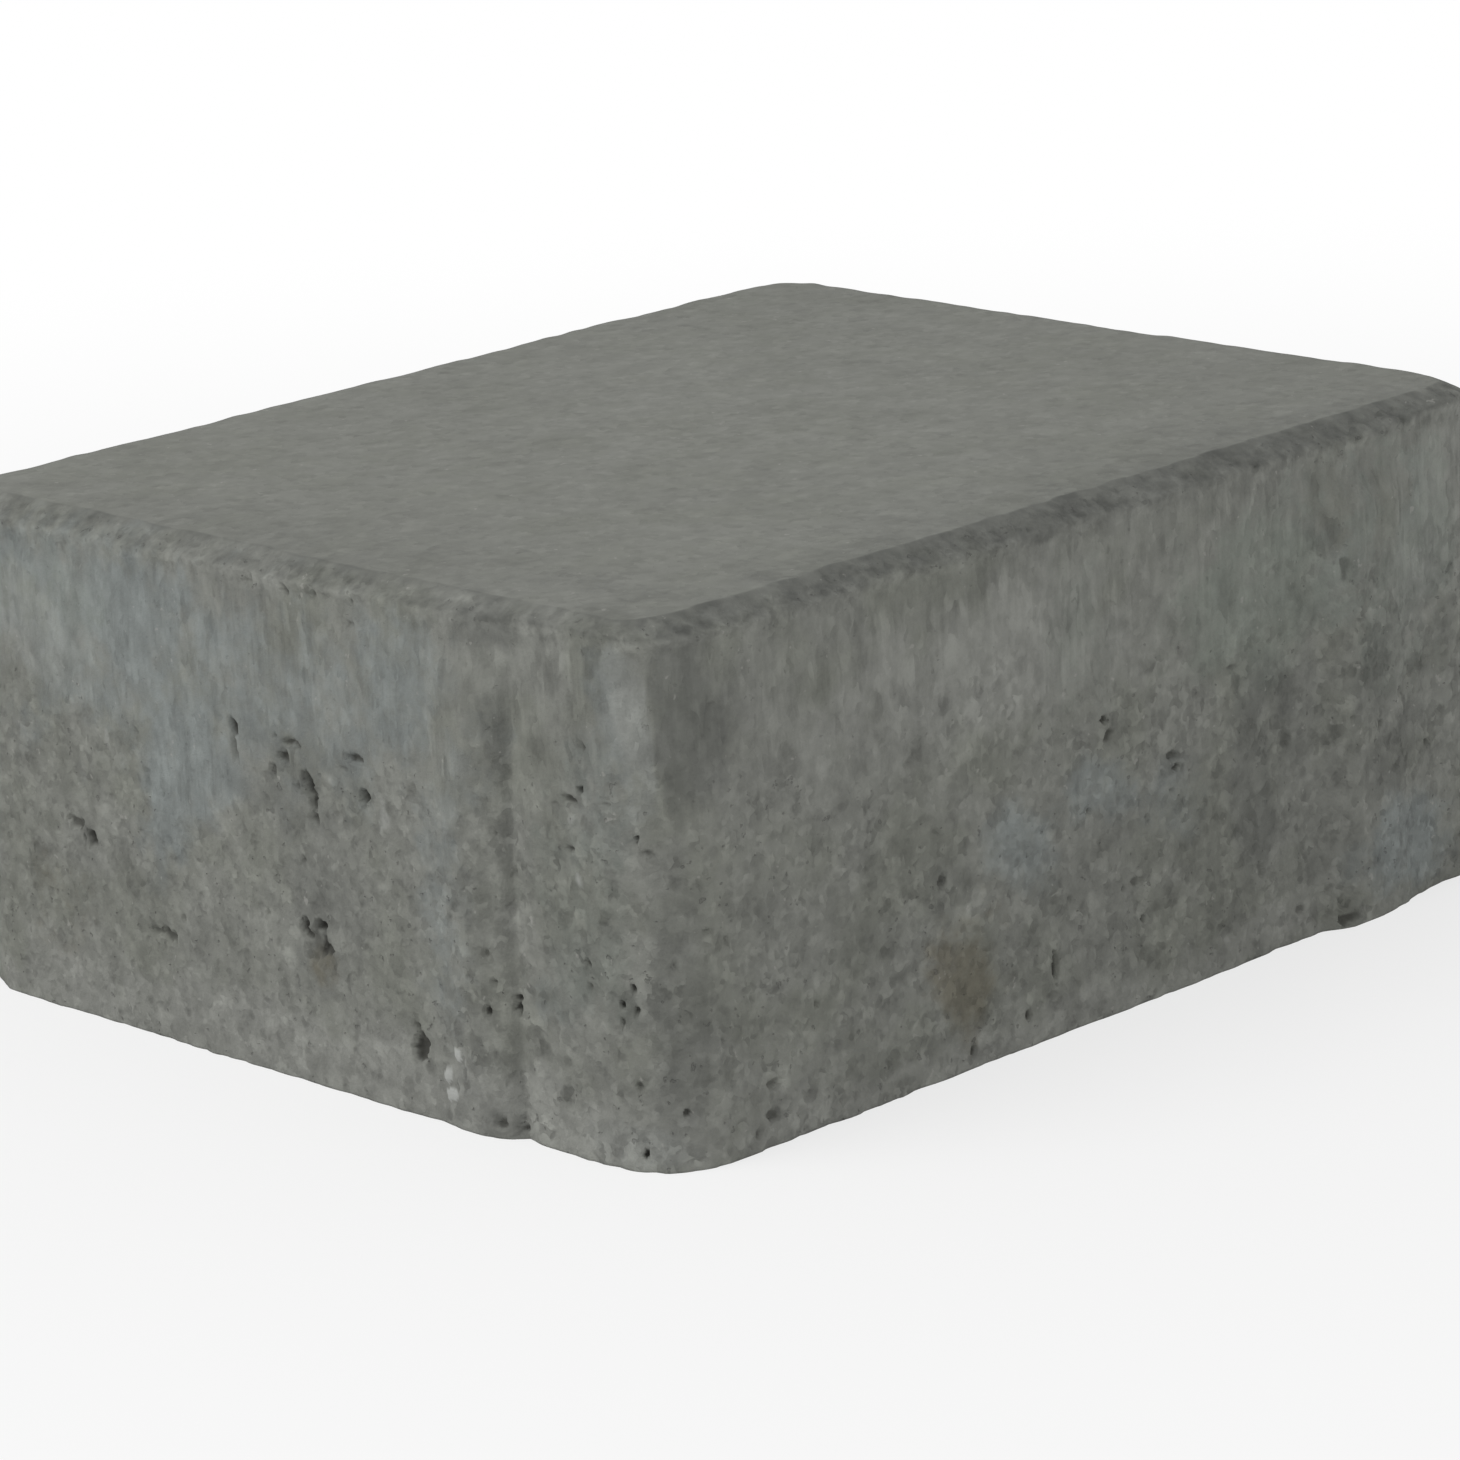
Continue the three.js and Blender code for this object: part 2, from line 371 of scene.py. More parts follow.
# Chance holes and pebbles: how many a wall has, and their largest half width
CHANCE_HOLES = {FRONT: (30, 0.6), RIGHT: (50, 1.6), BACK: (60, 1.6), LEFT: (18, 0.6)}
CHANCE_PEBBLES = {RIGHT: (8, 1.3), BACK: (9, 1.3)}

# A patch of finish, painted light and shade among them: its place as a hole's, its half sizes,
# its strength, how far it leans round the stone for each millimetre of height, and which side of
# a corner's seam it keeps to
Patch = namedtuple("Patch", "wall to_end height half_width half_height strength lean keeps_to",
                   defaults=(0, 0))
BEFORE_SEAM, PAST_SEAM = -1, 1

# A patch is whole within the second of these shares of its half sizes, and ends at the first
PATCH_FADE = (1.35, 0.35)

# Bluish cement skin. The patch that keeps before the near corner's seam is a painted highlight
# on the corner
LAITANCE_AND_HIGHLIGHT = {
    FRONT: (
        (114, 31, 9, 8, 0.8), (97, 35, 12, 6, 0.6), (80, 30, 9, 7, 0.4), (20, 58, 10, 14, 0.65),
        (26, 10, 14, 9, 0.9), (46, 60, 26, 14, 0.3),
    ),
    RIGHT: ((120, 62, 22, 14, 0.7), (60, 30, 18, 20, 0.5, 0.2), (10, 60, 8, 14, 0.8)),
    BACK: ((150, 64, 26, 12, 0.7), (90, 40, 22, 14, 0.6, -0.2), (40, 66, 16, 9, 0.6)),
    LEFT: (
        (138, 66, 30, 12, 1), (110, 66, 22, 12, 0.95), (96, 60, 66, 17, 0.6),
        (100, 46, 13, 16, 0.9, 0.35), (50, 66, 12, 12, 0.7),
        (43, 34, 7, 28, 0.5), (2.5, 65, 8, 15, 0.6, -0.16, BEFORE_SEAM), (10, 57, 9, 9, 0.4),
        (12, 50, 10, 7, 0.4), (22, 22, 9, 6, 0.25), (6, 3, 14, 4, 0.6),
    ),
}

# Pale cement paste, rubbed up the walls by the mould. The patch that keeps before the near
# corner's seam is a painted highlight on the corner, and the bands at the foot are partly paste
# and partly painted light over the shade at the foot
PASTE_AND_LIGHT = {
    FRONT: (
        (122, 60, 38, 12, 1), (162, 59, 17, 11, 0.5), (120, 1, 80, 5, 0.8),
        (166, 10, 14, 9, 0.4), (12, 60, 9, 16, 0.8), (104, 50, 9, 7, 0.4), (70, 41, 6, 8, 0.4),
        (22, 53, 11, 15, 0.8), (59, 4, 13, 5, 0.9),
    ),
    RIGHT: ((60, 68, 50, 8, 0.7), (90, 1, 70, 6, 0.7)),
    BACK: ((110, 69, 60, 8, 0.7), (90, 1, 100, 6, 0.7)),
    LEFT: (
        (0.5, 66, 7, 15, 0.65, -0.12, BEFORE_SEAM), (138, 62, 16, 10, 0.6), (60, 1, 90, 11, 1),
        (44, 4, 9, 6, 1),
    ),
}

# Darker patches of the walls. Those along the front and back bevels are partly painted shade.
# Those beside, on and above the left wall's nib flank, on the other nib flanks and in the dip
# beside the front wall's nib are painted shade. The front wall's broad patches make it darker
# towards the bottom
DARKER_AND_SHADE = {
    FRONT: (
        (95, 79, 96, 2.8, 1), (182, 79.4, 10, 2.2, 1), (28, 79, 30, 2.6, 0.9),
        (157, 79.2, 7, 3, 1), (140, 79.2, 14, 3, 1), (182, 67, 11, 18, 1, -0.1, PAST_SEAM),
        (185, 28, 9, 28, 0.65), (150, 18, 50, 30, 0.22),
        (70, 20, 66, 24, 0.38), (103, 24, 12, 7, 0.5), (130, 31, 9, 8, 0.5),
        (150, 25, 14, 5, 0.45), (28, 26, 10, 9, 0.75), (20, 21, 8, 8, 0.5), (61, 27, 8, 20, 1),
        (53, 36, 6, 11, 0.8), (48, 40, 4, 14, 0.6), (34, 36, 8, 12, 0.6), (20, 38, 16, 16, 0.5),
    ),
    RIGHT: ((31, 40, 2.6, 36, 0.3), (100, 24, 18, 12, 0.4)),
    BACK: ((70, 79, 50, 2.6, 0.7), (40.5, 40, 2.6, 34, 0.5), (120, 24, 22, 14, 0.35)),
    LEFT: (
        (75, 28, 32, 12, 0.22), (132, 36, 22, 14, 0.25), (140, 26, 10, 14, 0.4),
        (122, 26, 16, 10, 0.5), (13, 36, 15, 34, 0.4), (35.5, 34, 4.5, 46, 0.36),
        (31.2, 62, 2.8, 11, 0.65), (9, 62, 3, 6, 0.3), (70, 26, 10, 14, 0.7),
        (74, 46, 13, 9, 0.7), (108, 20, 24, 9, 0.35), (31, 76.1, 6.7, 3.8, 0.9),
        (104, 72, 2, 8, 0.4), (33, 2, 5, 3, 0.6),
    ),
}

# Traces of rust
RUST = {
    FRONT: ((127, 15, 8, 9, 0.9), (120, 26, 6, 8, 0.3)),
    BACK: ((60, 30, 7, 9, 0.5),),
    LEFT: ((70, 20, 3.5, 3.5, 0.6), (134, 20, 10, 10, 0.25)),
}

# Faint green film
GREEN = {
    FRONT: ((58, 57, 22, 16, 0.9), (24, 56, 20, 20, 0.6), (100, 60, 10, 12, 0.4)),
    RIGHT: ((60, 54, 30, 18, 0.6),),
    BACK: ((130, 50, 36, 20, 0.6),),
    LEFT: ((14, 40, 12, 22, 0.5), (130, 66, 20, 12, 0.4)),
}

# On the wearing face, a patch's middle and half sizes on the plan, and its strength. Painted
# shade darkens the face along its left and front edges
FACE_PAINTED_SHADE = (
    (-90, -6, 28, 74, 0.4), (10, -72, 104, 20, 0.28), (-84, -68, 16, 16, 0.55),
    (-52, -77.5, 40, 6, 0.45), (0, -77.5, 46, 6, 0.45), (50, -77.5, 46, 6, 0.45),
)

# Painted light, which makes the wearing face paler over its far right part
FACE_PAINTED_LIGHT = ((28, 18, 84, 76, 0.32),)

# The mesh's masks that these tables fill
WALL_FINISHES_AND_LIGHT = {"laitance_and_highlight": LAITANCE_AND_HIGHLIGHT, "paste": PASTE_AND_LIGHT, "darker_and_shade": DARKER_AND_SHADE, "rust": RUST,
                 "green": GREEN}
FACE_LIGHT_AND_SHADE = {"paste": FACE_PAINTED_LIGHT, "darker_and_shade": FACE_PAINTED_SHADE}


def on_walls(kind, table):
    """The rows of a table that is kept by wall, each with its wall in front."""
    return [kind(index, *row) for index, rows in table.items() for row in rows]


def face_mask(plain, patches):
    """Strength of a table's painted light and shade at each point of the wearing face."""
    warp = waves(plain, (0.3, 9, 34), (0.2, 3, 35))
    mask = np.zeros(len(plain))
    for x, y, half_x, half_y, strength in patches:
        away = np.hypot((plain[:, 0] - x) / half_x, (plain[:, 1] - y) / half_y)
        mask = np.maximum(mask, strength * ramp(away + warp, *PATCH_FADE))
    return mask


def wall_mask(plain, way, patches, sizes):
    """Strength of the finish, painted light and shade among it, at each point of the walls: the
    strongest of the patches.
    """
    warp = waves(plain, (0.35, 7, 31), (0.2, 2.5, 32))
    beyond = past_seam(way, plain[:, 2], sizes)
    beyond += waves(plain, (0.5, (3, 3, 5), 33), (0.4, (1.3, 1.3, 3), 36))
    mask = np.zeros(len(plain))
    for patch in on_walls(Patch, patches):
        up = plain[:, 2] - patch.height
        across = past(way, patch.wall, patch.to_end, sizes) - patch.lean * up
        away = np.hypot(across / patch.half_width, up / patch.half_height)
        share = patch.strength * ramp(away + warp, *PATCH_FADE)
        if patch.keeps_to:
            share *= ramp(patch.keeps_to * beyond, -0.5, 0.5)
        mask = np.maximum(mask, share)
    return mask


def spots_on_walls(placed, by_chance, draw, seed, sizes):
    """The placed spots, and chance ones on each wall. Their distance to the wall's end,
    height, half width, half height and depth come from draw(), the same on every run."""
    chance = np.random.RandomState(seed)
    spots = on_walls(Hole, placed)
    for index, (count, largest) in by_chance.items():
        run = sizes.walls[index].run
        spots += [Hole(index, *draw(chance, run, largest)) for _ in range(count)]
    return spots


def drawn_hole(chance, run, largest):
    to_end = chance.uniform(2, run - 2)
    height = chance.triangular(left=3, mode=30, right=72)
    size = min(0.42 + chance.exponential(0.24), largest)
    tall = chance.uniform(0.7, 1.6)
    return to_end, height, size, size * tall, size * chance.uniform(0.9, 1.6)


def drawn_pebble(chance, run, largest):
    to_end = chance.uniform(4, run - 4)
    height = chance.triangular(left=3, mode=12, right=68)
    size = chance.uniform(0.6, largest)
    tall = chance.uniform(0.8, 1.4)
    return to_end, height, size, size * tall, chance.uniform(0.04, 0.1)


# ---- The stone's mesh ----

# Heights of the grid lines of the lowest millimetres, and the number of lines on the bevel
FOOT_HEIGHTS = (0, 0.35, 0.9, 1.7)
BEVEL_LINES = 9

# Width of the wearing face's finely divided rim
FACE_RIM = 9

# Round a hole the grid has further cuts, over this many of its half sizes and this much more
HOLE_CUTS = 2
CUT_REACH, CUT_MARGIN = 1.3, 0.4

# Depth at which a hole's bottom has the whole of its painted shade
DARK_DEPTH = 1.3

# How round the bevel is, how far a wall may stand past its slope, and the share of its
# edge's waver that goes up and down, over this many lines of the wall
BEVEL_ROUNDNESS = 0.18
BEVEL_PLAY = 0.3
UPRIGHT_WAVER = 0.7
WAVER_LINES = 14


def mesh_of(bm, name):
    mesh = bpy.data.meshes.new(name)
    bm.to_mesh(mesh)
    bm.free()
    return mesh


def new_object(name, data):
    made = bpy.data.objects.new(name, data)
    bpy.context.scene.collection.objects.link(made)
    return made


def length_along(edge, axis):
    return abs(edge.verts[0].co[axis] - edge.verts[1].co[axis])


def divided_block(sizes):
    """A plain block over its sharp corners, divided into a grid."""
    bm = bmesh.new()
    bmesh.ops.create_cube(bm, size=1)
    bmesh.ops.translate(bm, vec=(0, 0, 0.5), verts=bm.verts)
    extents = (sizes.length, sizes.width, sizes.height)
    bmesh.ops.scale(bm, vec=extents, verts=bm.verts)
    for axis, extent in enumerate(extents):
        edges = [e for e in bm.edges if length_along(e, axis) > extent / 2]
        cuts = round(extent / sizes.grid_step) - 1
        bmesh.ops.subdivide_edges(bm, edges=edges, cuts=cuts, use_grid_fill=True)
    for axis, (near, far) in enumerate((LONG_WALL_FLANK, SHORT_WALL_FLANK)):
        edges = [e for e in bm.edges if length_along(e, axis) > sizes.grid_step / 2
                 and near < extents[axis] / 2 - abs(e.verts[0].co[axis]) < far]
        bmesh.ops.subdivide_edges(bm, edges=edges, cuts=1, use_grid_fill=True)
    return bm


def coarsen(bm, level, rim_width, sizes):
    """Swaps a level face's fine grid, inside a rim, for a coarser one bridged to the rim."""
    inset = rim_width - TOUCH
    inside = {v for v in bm.verts if abs(v.co.z - level) < TOUCH
              and abs(v.co.x) < sizes.length / 2 - inset
              and abs(v.co.y) < sizes.width / 2 - inset}
    fine = [f for f in bm.faces if inside.issuperset(f.verts)]
    bmesh.ops.delete(bm, geom=fine, context="FACES")
    rim = [e for e in bm.edges if e.is_boundary]
    step = sizes.coarse_step
    across = [2 * max(abs(e.verts[0].co[axis]) for e in rim) - 3 * step for axis in (0, 1)]
    grid = bmesh.ops.create_grid(
        bm, x_segments=round(across[0] / step), y_segments=round(across[1] / step), size=0.5)
    made = set(grid["verts"])
    bmesh.ops.scale(bm, vec=(*across, 1), verts=grid["verts"])
    bmesh.ops.translate(bm, vec=(0, 0, level), verts=grid["verts"])

    # The bed's grid faces down, as its rim does
    if level < sizes.height / 2:
        bmesh.ops.reverse_faces(bm, faces=[f for f in bm.faces if f.verts[0] in made])
    inner_rim = {e for v in made for e in v.link_edges if e.is_boundary}
    bmesh.ops.bridge_loops(bm, edges=rim + sorted(inner_rim, key=lambda e: e.index))


def refine_round(bm, spots, sizes):
    """Divides the grid once more round each air hole and pebble."""
    faces = [f for f in bm.faces if abs(f.normal.z) < 0.5]
    centres = np.array([f.calc_center_median() for f in faces])
    way = way_round(centres[:, :2], sizes)
    chosen = np.zeros(len(faces), bool)
    for spot in spots:
        across = np.abs(past(way, spot.wall, spot.to_end, sizes))
        up = np.abs(centres[:, 2] - spot.height)
        chosen |= ((across < spot.half_width * CUT_REACH + CUT_MARGIN)
                   & (up < spot.half_height * CUT_REACH + CUT_MARGIN))
    edges = {e for f, pick in zip(faces, chosen) if pick for e in f.edges}
    bmesh.ops.subdivide_edges(bm, edges=sorted(edges, key=lambda e: e.index), cuts=HOLE_CUTS,
                              use_grid_fill=True)
    many_sided = [f for f in bm.faces if len(f.verts) > 4]
    bmesh.ops.triangulate(bm, faces=many_sided)


# A relief's step is softened over these distances, and a flank's slope is taken over this one
SOFT_STEPS = (-4, -2, 2, 4)
SLOPE_STEP = 0.6


def section_form(core, direction, height, sizes):
    """How far the walls stand proud, with nibs, which end below the bevel, and reliefs,
    whose step is softer above the nib. Also how steep their flanks are."""
    nib_share = np.clip((sizes.nib_top - height) / sizes.nib_top_slope, 0, 1)
    softness = ramp(height, sizes.nib_top - 0.6, sizes.nib_top + 0.8)
    proud = np.zeros(len(core))
    steep = np.zeros(len(core))
    for wall in sizes.walls:
        facing = np.maximum(direction @ wall.outward, 0)
        to_end = wall.run / 2 - core @ wall.along + read(wall.lean, height)

        def section(place):
            relief = read(wall.relief, place)
            around = [read(wall.relief, place + step) for step in SOFT_STEPS]
            relief += softness * (np.mean(around, axis=0) - relief)
            return nib_share * read(wall.nib, place) + relief

        proud += facing * section(to_end)
        rise = section(to_end + SLOPE_STEP) - section(to_end - SLOPE_STEP)
        steep += facing * np.maximum(rise, 0) / (2 * SLOPE_STEP)
    return proud, steep * (1 - softness)


# The walls' skin is closed above the first of these heights and open below the second
OPEN_SKIN = (62, 30)


def wall_finish(plain, ring, height, lower_waver, sizes):
    """Lumps, pocks and drag marks of the walls, and the burr under the bevel."""
    wall_top = sizes.height - sizes.bevel_drop
    on_wall = ramp(height, wall_top + 0.8, wall_top - 1)
    lumps = waves(plain, (1, 15, 5), (0.55, 6, 6))
    openness = 0.35 + 0.65 * ramp(height + 12 * wander(plain, 16, 22), *OPEN_SKIN)
    pocks = waves(plain, (1, 3.1, 23), (0.8, 1.7, 24))
    drags = waves(plain, (1, (2.8, 2.8, 26), 7), (0.6, (1.7, 1.7, 14), 8))
    form = on_wall * (sizes.lump_height * lumps + sizes.pock_depth * openness * pocks
                      + sizes.drag_depth * (drags - 0.3))
    crumbs = waves(plain, (1, 2.1, 40), (0.6, 1.2, 41))
    form += 0.2 * bell(height - wall_top, 2.2) * crumbs
    share = ramp(waves(ring, (1, 13, 9), (0.4, 4, 10)), -0.5, 0.4)
    burr = share * bell(height - wall_top + 0.3 - lower_waver * UPRIGHT_WAVER, 0.55)
    worn = np.exp(-height / 1.2) * (0.1 + 0.4 * np.maximum(wander(ring, 5, 11), -0.2)
                                    + 0.4 * np.maximum(wander(ring, 2.2, 12), 0))
    bulge = sizes.foot_bulge * np.exp(-height / 9)
    return form + sizes.burr_height * burr + bulge - worn, burr


def grid_heights(points, lower_waver, sizes):
    """Heights of the grid lines, which crowd at the foot and on the bevel. Returns them level
    and with the bevel's waver, and how far up the wearing face and the bevel they lie."""
    lines = round(sizes.height / sizes.grid_step)
    line = points[:, 2] / sizes.height * lines
    bevel_start = lines - BEVEL_LINES
    wall_top = sizes.height - sizes.bevel_drop
    level = np.interp(line, [*range(len(FOOT_HEIGHTS)), bevel_start],
                      [*FOOT_HEIGHTS, wall_top])
    up_bevel = np.clip((line - bevel_start) / BEVEL_LINES, 0, 1)
    height = level + up_bevel * (1 + BEVEL_ROUNDNESS * (1 - up_bevel)) * sizes.bevel_drop
    height += lower_waver * UPRIGHT_WAVER * np.interp(
        line, [bevel_start - WAVER_LINES, bevel_start, lines], [0, 1, 0])
    return level, height, ramp(line, bevel_start, lines), up_bevel


def cast_form(points, way, sizes):
    """Moves the divided block's points onto the cast stone, without its holes. Returns them
    with the points of the plain rounded block, the directions out, and masks of where they
    lie."""
    core, direction, share = plan_of(points[:, :2], sizes)
    to_rim = (1 - share) * sizes.corner_radius
    is_side = to_rim < TOUCH
    is_bed = points[:, 2] < TOUCH
    wall_top = sizes.height - sizes.bevel_drop

    # The rounded block's outline below each point, for forms that run round the stone. The
    # front wall's edge is the most worn
    ring = np.column_stack([core + direction * sizes.corner_radius, np.zeros(len(core))])
    wear = 0.25 + 0.75 * ramp(-direction[:, 1], 0.3, 0.9)
    upper_waver = sizes.edge_waver * waves(ring, (1, 11, 1), (0.8, 4, 2),
                                           (1.2 * wear, 2.2, 37))
    lower_waver = sizes.edge_waver * waves(ring, (1, 9, 3), (0.8, 3.2, 4))
    level, height, up_face, up_bevel = grid_heights(points, lower_waver, sizes)

    # Plan at each height. Nothing stands out past the bevel's slope, carried on downwards
    plain = np.column_stack([ring[:, :2], height])
    finish, burr = wall_finish(plain, ring, height, lower_waver, sizes)
    proud, steep = section_form(core, direction, height, sizes)
    proud += finish
    ridge = sizes.seam_height * bell(past_seam(way, height, sizes), 1.3)
    proud += ridge * ramp(height, wall_top, wall_top - 4)
    slope = sizes.bevel_inset / sizes.bevel_drop
    limit = slope * (wall_top - level) - (sizes.bevel_inset + upper_waver) * up_bevel
    limit += BEVEL_PLAY * (1 - up_bevel)
    crumbs = waves(plain, (1, (2.6, 2.6, 1.3), 25), (0.7, (1.5, 1.5, 0.8), 26))
    limit += sizes.crumb_height * wear * crumbs * np.sin(np.pi * up_bevel)
    radius = np.minimum(proud, limit) + sizes.corner_radius
    rim_radius = sizes.corner_radius - sizes.bevel_inset - upper_waver
    rim_radius = np.where(is_bed, sizes.corner_radius - sizes.bed_inset, rim_radius)
    radius = np.where(is_side, radius, rim_radius * share)
    flat = core + direction * radius[:, None]

    # Wearing face and bed, whose chance forms come from one level of the pattern
    face = np.column_stack([flat, np.full(len(flat), 40.0)])
    face_dips = (0.07 * (1 + wander(face, 26, 13)) + 0.04 * (1 + wander(face, 7, 14))
                 + 0.10 * np.exp(-to_rim / 4) * (1 + wander(face, 3, 15)))
    height = height - face_dips * up_face
    bed_lumps = 0.25 * (1 + wander(face, 9, 16)) + 0.2 * (1 + wander(face, 4, 17))
    height = np.where(is_bed & ~is_side, bed_lumps * ramp(to_rim, 0, 6), height)

    masks = {
        "side": ramp(up_bevel, 1, 0.6),
        "bevel": ramp(up_bevel, 0.02, 0.2) * ramp(wear * crumbs, 0.8, -0.8),
        "burr": burr,
        "edge": bell(height - wall_top - 0.4, 3),
        # Where the nibs' flanks are steep, for their painted shade
        "flank_shade": ramp(steep, 0.15, 0.9),
    }
    masks = {name: mask * is_side for name, mask in masks.items()}
    return np.column_stack([flat, height]), plain, direction * is_side[:, None], masks


def spot_cups(plain, way, spots, sizes):
    """How deep each point lies in the spots, and the same as a share of a deep one."""
    deep = np.zeros(len(plain))
    cup_share = np.zeros(len(plain))
    warp = waves(plain, (0.42, 1.2, 18), (0.22, 0.6, 19))
    for spot in spots:
        across = past(way, spot.wall, spot.to_end, sizes) / spot.half_width
        up = (plain[:, 2] - spot.height) / spot.half_height
        near = (np.abs(across) < 2) & (np.abs(up) < 2)
        away = np.hypot(across[near], up[near]) + warp[near]
        cup = np.sqrt(np.clip(1 - np.maximum(away, 0) ** 3, 0, 1))
        deep[near] = np.maximum(deep[near], cup * spot.depth)
        cup_share[near] = np.maximum(cup_share[near], cup * min(1, spot.depth / DARK_DEPTH))
    return deep, cup_share


def cast_mesh(sizes):
    """The stone's finished mesh in metres, with the masks as its attributes."""
    holes = spots_on_walls(PLACED_HOLES, CHANCE_HOLES, drawn_hole, sizes.seed, sizes)
    pebbles = spots_on_walls(PEBBLES, CHANCE_PEBBLES, drawn_pebble, sizes.seed + 1, sizes)
    bm = divided_block(sizes)
    coarsen(bm, 0, 0, sizes)
    coarsen(bm, sizes.height, FACE_RIM, sizes)
    refine_round(bm, holes + pebbles, sizes)

    points = np.array([v.co for v in bm.verts])
    way = way_round(points[:, :2], sizes)
    cast, plain, direction, masks = cast_form(points, way, sizes)
    is_side = np.abs(direction).sum(axis=1) > 0
    # How deep down each hole a point lies, for the painted shade inside the holes
    sunk, masks["hole_shade"] = spot_cups(plain, way, holes, sizes)
    raised, _ = spot_cups(plain, way, pebbles, sizes)
    raised *= is_side & (sunk == 0)
    masks["hole_shade"] *= is_side
    masks["pebble"] = ramp(raised, 0.02, 0.12)
    cast[:, :2] += direction * (raised - sunk)[:, None]
    cast = np.clip(cast, solid_low, solid_high)
    for name, patches in WALL_FINISHES_AND_LIGHT.items():
        masks[name] = wall_mask(plain, way, patches, sizes) * is_side
    on_face = points[:, 2] > sizes.height - TOUCH
    for name, patches in FACE_LIGHT_AND_SHADE.items():
        masks[name] = np.maximum(masks[name], face_mask(plain, patches) * on_face)

    for vert, place in zip(bm.verts, cast):
        vert.co = place
    bmesh.ops.scale(bm, vec=(MM, MM, MM), verts=bm.verts)
    bmesh.ops.recalc_face_normals(bm, faces=bm.faces)
    for face in bm.faces:
        face.smooth = True
    if any(not e.is_manifold for e in bm.edges):
        raise RuntimeError("the stone's mesh isn't closed")
    mesh = mesh_of(bm, PIECE)
    for name, values in masks.items():
        attribute = mesh.attributes.new(name, "FLOAT", "POINT")
        attribute.data.foreach_set("value", values.astype(np.float32))
    return mesh


# ---- Materials ----


class Graph:
    """Adds nodes to a node tree and links them."""

    def __init__(self, tree):
        self.tree = tree
        tree.nodes.clear()

    def node(self, kind, settings=None, **inputs):
        """A shader node of a kind, such as Math, with its settings and its named inputs."""
        node = self.tree.nodes.new("ShaderNode" + kind)
        node.location = (220 * (len(self.tree.nodes) % 12), -240 * (len(self.tree.nodes) // 12))
        for name, value in (settings or {}).items():
            setattr(node, name, value)
        for name, value in inputs.items():
            self.feed(node.inputs[name.replace("_", " ")], value)
        return node

    def feed(self, socket, value):
        if isinstance(value, bpy.types.NodeSocket):
            self.tree.links.new(value, socket)
        else:
            socket.default_value = value

    def in_order(self, kind, settings, *values):
        """A node whose first inputs are the values, in their order."""
        node = self.node(kind, settings)
        for socket, value in zip(node.inputs, values):
            self.feed(socket, value)
        return node.outputs[0]

    def math(self, operation, first, second):
        return self.in_order("Math", {"operation": operation}, first, second)

    def plus(self, first, second):
        return self.math("ADD", first, second)

    def minus(self, first, second):
        return self.math("SUBTRACT", first, second)

    def times(self, first, second):
        return self.math("MULTIPLY", first, second)

    def build_up(self, value, *parts):
        """Adds parts to a value, each of them times its share."""
        for part, share in parts:
            value = self.plus(value, self.times(part, share))
        return value

    def vector_math(self, operation, *values):
        return self.in_order("VectorMath", {"operation": operation}, *values)

    def stretched(self, vector, scale):
        return self.node("Mapping", {"vector_type": "POINT"}, Vector=vector,
                         Scale=scale).outputs[0]

    def ramp(self, value, low, high, to_low=0.0, to_high=1.0):
        node = self.node("MapRange", {"interpolation_type": "SMOOTHSTEP"},
                         Value=value, From_Min=low, From_Max=high, To_Min=to_low,
                         To_Max=to_high)
        return node.outputs["Result"]

    def mix(self, share, first, second):
        node = self.node("Mix", {"data_type": "RGBA"}, Factor=share)
        self.feed(node.inputs["A"], first)
        self.feed(node.inputs["B"], second)
        return node.outputs["Result"]

    def noise(self, vector, size, detail=2.0, roughness=0.5):
        """Noise whose forms are about size millimetres wide."""
        node = self.node("TexNoise", Vector=vector, Scale=1 / size, Detail=detail,
                         Roughness=roughness)
        return node.outputs["Fac"]

    def wave(self, vector, size, detail=2.0, roughness=0.5):
        """The same noise about zero."""
        return self.minus(self.noise(vector, size, detail, roughness), 0.5)

    def attribute(self, name):
        return self.node("Attribute", {"attribute_name": name}).outputs["Fac"]

    def group(self, tree, **inputs):
        return self.node("Group", {"node_tree": tree}, **inputs).outputs

    def seen(self):
        """One for rays that show a surface itself, rather than the light that it gives."""
        path = self.node("LightPath").outputs
        return self.math("MAXIMUM", path["Is Camera Ray"], self.math(
            "MAXIMUM", path["Is Glossy Ray"], path["Is Transmission Ray"]))


def named_group(name, inputs, outputs, build):
    """A shader node group whose nodes build() adds to a graph, g, from the sockets for a
    vector and for the inputs."""
    tree = bpy.data.node_groups.new(name, "ShaderNodeTree")
    tree.interface.new_socket(name="Vector", in_out="INPUT", socket_type="NodeSocketVector")
    for socket_name, default in inputs.items():
        socket = tree.interface.new_socket(
            name=socket_name, in_out="INPUT", socket_type="NodeSocketFloat")
        socket.default_value = default
    for socket_name in outputs:
        tree.interface.new_socket(
            name=socket_name, in_out="OUTPUT", socket_type="NodeSocketFloat")
    graph = Graph(tree)
    entry = tree.nodes.new("NodeGroupInput").outputs
    leave = tree.nodes.new("NodeGroupOutput").inputs
    for socket_name, value in zip(outputs, build(graph, *entry[:len(inputs) + 1])):
        graph.feed(leave[socket_name], value)
    return tree


def broken_edge(g, vector, mask, raggedness):
    """Gives a soft mask the uneven edge of a real patch."""
    shift = g.plus(g.wave(vector, 2.2, 3, 0.6), g.wave(vector, 8))
    raised = g.build_up(mask, (shift, raggedness))
    return [g.times(g.ramp(raised, 0.05, 1.0), g.ramp(mask, 0.0, 0.12))]


